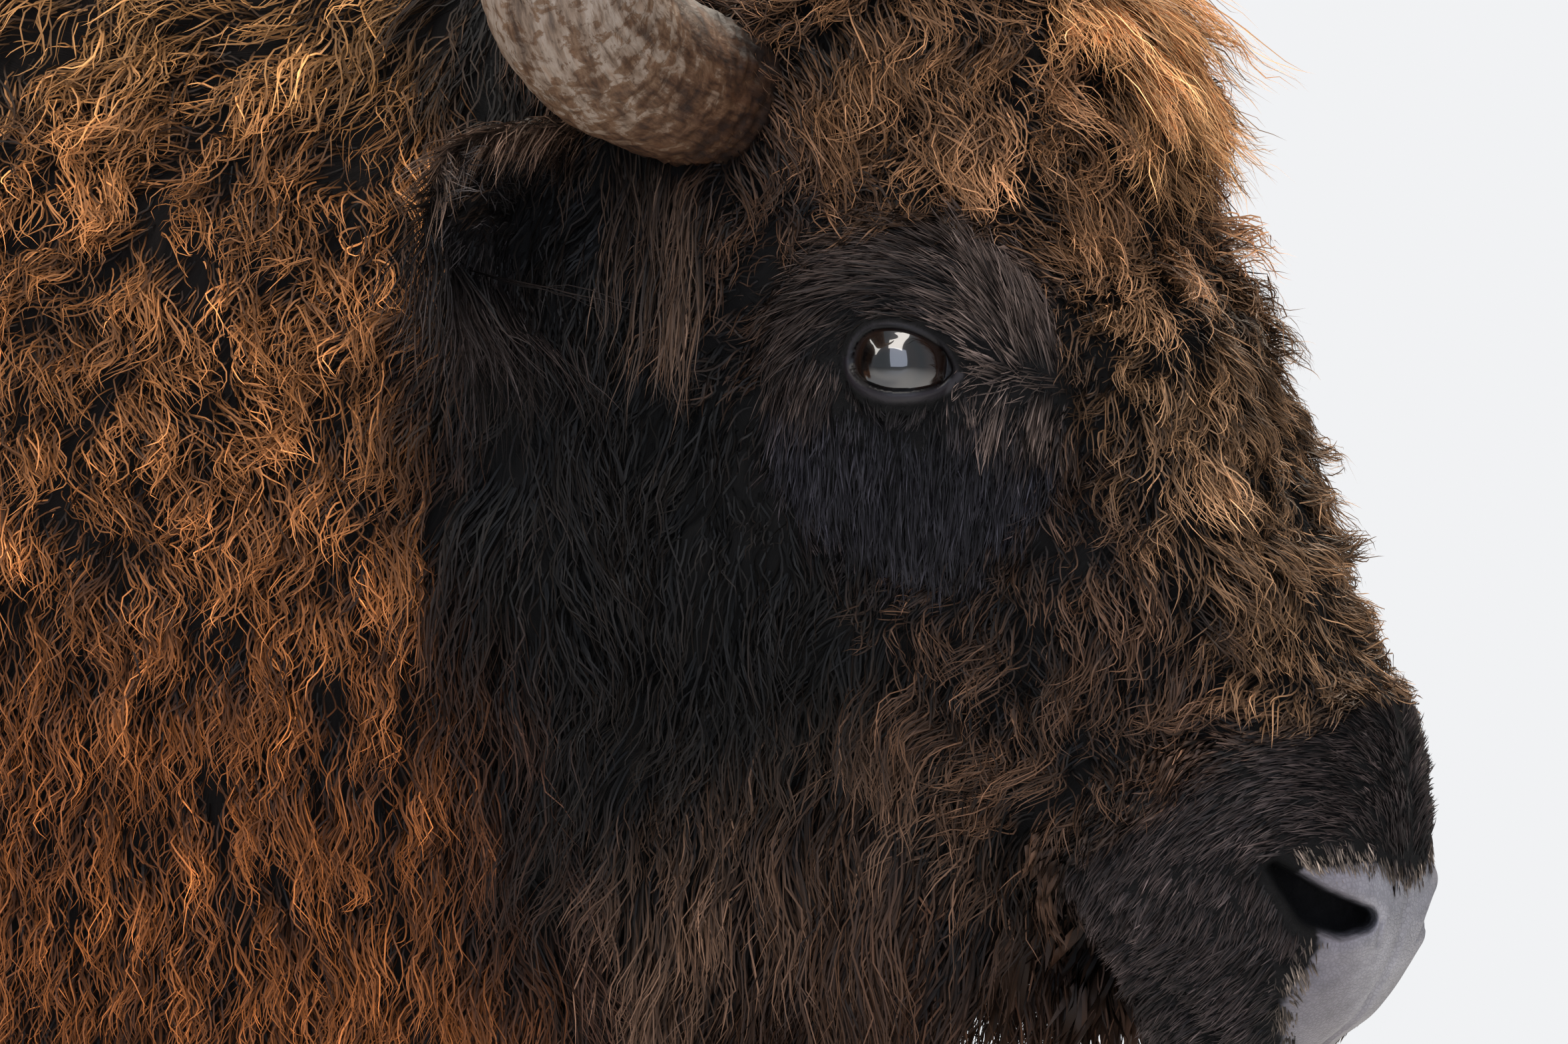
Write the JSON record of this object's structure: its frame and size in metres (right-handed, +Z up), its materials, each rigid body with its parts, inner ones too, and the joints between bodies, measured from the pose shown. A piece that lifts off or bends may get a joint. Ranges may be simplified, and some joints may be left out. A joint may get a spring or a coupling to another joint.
{
  "type": "European bison bull",
  "caption": "Life-size European bison bull standing still in its shaggy winter coat, with dark bearded head, upswept horns and cloven hooves.",
  "frame": {"origin": "on the floor, under the middle of the whole", "axes": "+X is the way the animal faces, +Y is its left, +Z is up"},
  "size_m": [2.6374, 0.747, 1.8217],
  "materials": {
    "coat_brown": "woolly winter coat, orange-brown, matte",
    "coat_dark": "short and shaggy dark brown hair, matte",
    "horn_sheath": "grey-tan keratin, flaky at the base",
    "hoof_horn": "dark hoof horn, satin",
    "eye_glossy": "wet, dark brown"
  },
  "bodies": {
    "root": {"beard": "coat_dark", "ear_left": "coat_brown", "ear_right": "coat_brown", "eye_left": "eye_glossy", "eye_right": "eye_glossy", "foreleg_left_inner_dewclaw": "hoof_horn", "foreleg_left_inner_hoof": "hoof_horn", "foreleg_left_lower": "coat_brown", "foreleg_left_outer_dewclaw": "hoof_horn", "foreleg_left_outer_hoof": "hoof_horn", "foreleg_left_upper": "coat_brown", "foreleg_right_inner_dewclaw": "hoof_horn", "foreleg_right_inner_hoof": "hoof_horn", "foreleg_right_lower": "coat_brown", "foreleg_right_outer_dewclaw": "hoof_horn", "foreleg_right_outer_hoof": "hoof_horn", "foreleg_right_upper": "coat_brown", "head": "coat_dark", "hindleg_left_inner_dewclaw": "hoof_horn", "hindleg_left_inner_hoof": "hoof_horn", "hindleg_left_lower": "coat_brown", "hindleg_left_outer_dewclaw": "hoof_horn", "hindleg_left_outer_hoof": "hoof_horn", "hindleg_left_upper": "coat_brown", "hindleg_right_inner_dewclaw": "hoof_horn", "hindleg_right_inner_hoof": "hoof_horn", "hindleg_right_lower": "coat_brown", "hindleg_right_outer_dewclaw": "hoof_horn", "hindleg_right_outer_hoof": "hoof_horn", "hindleg_right_upper": "coat_brown", "horn_left": "horn_sheath", "horn_right": "horn_sheath", "lower_jaw": "coat_dark", "neck": "coat_brown", "tail": "coat_brown", "tail_tuft": "coat_dark", "trunk": "coat_brown"}
  },
  "joints": []
}
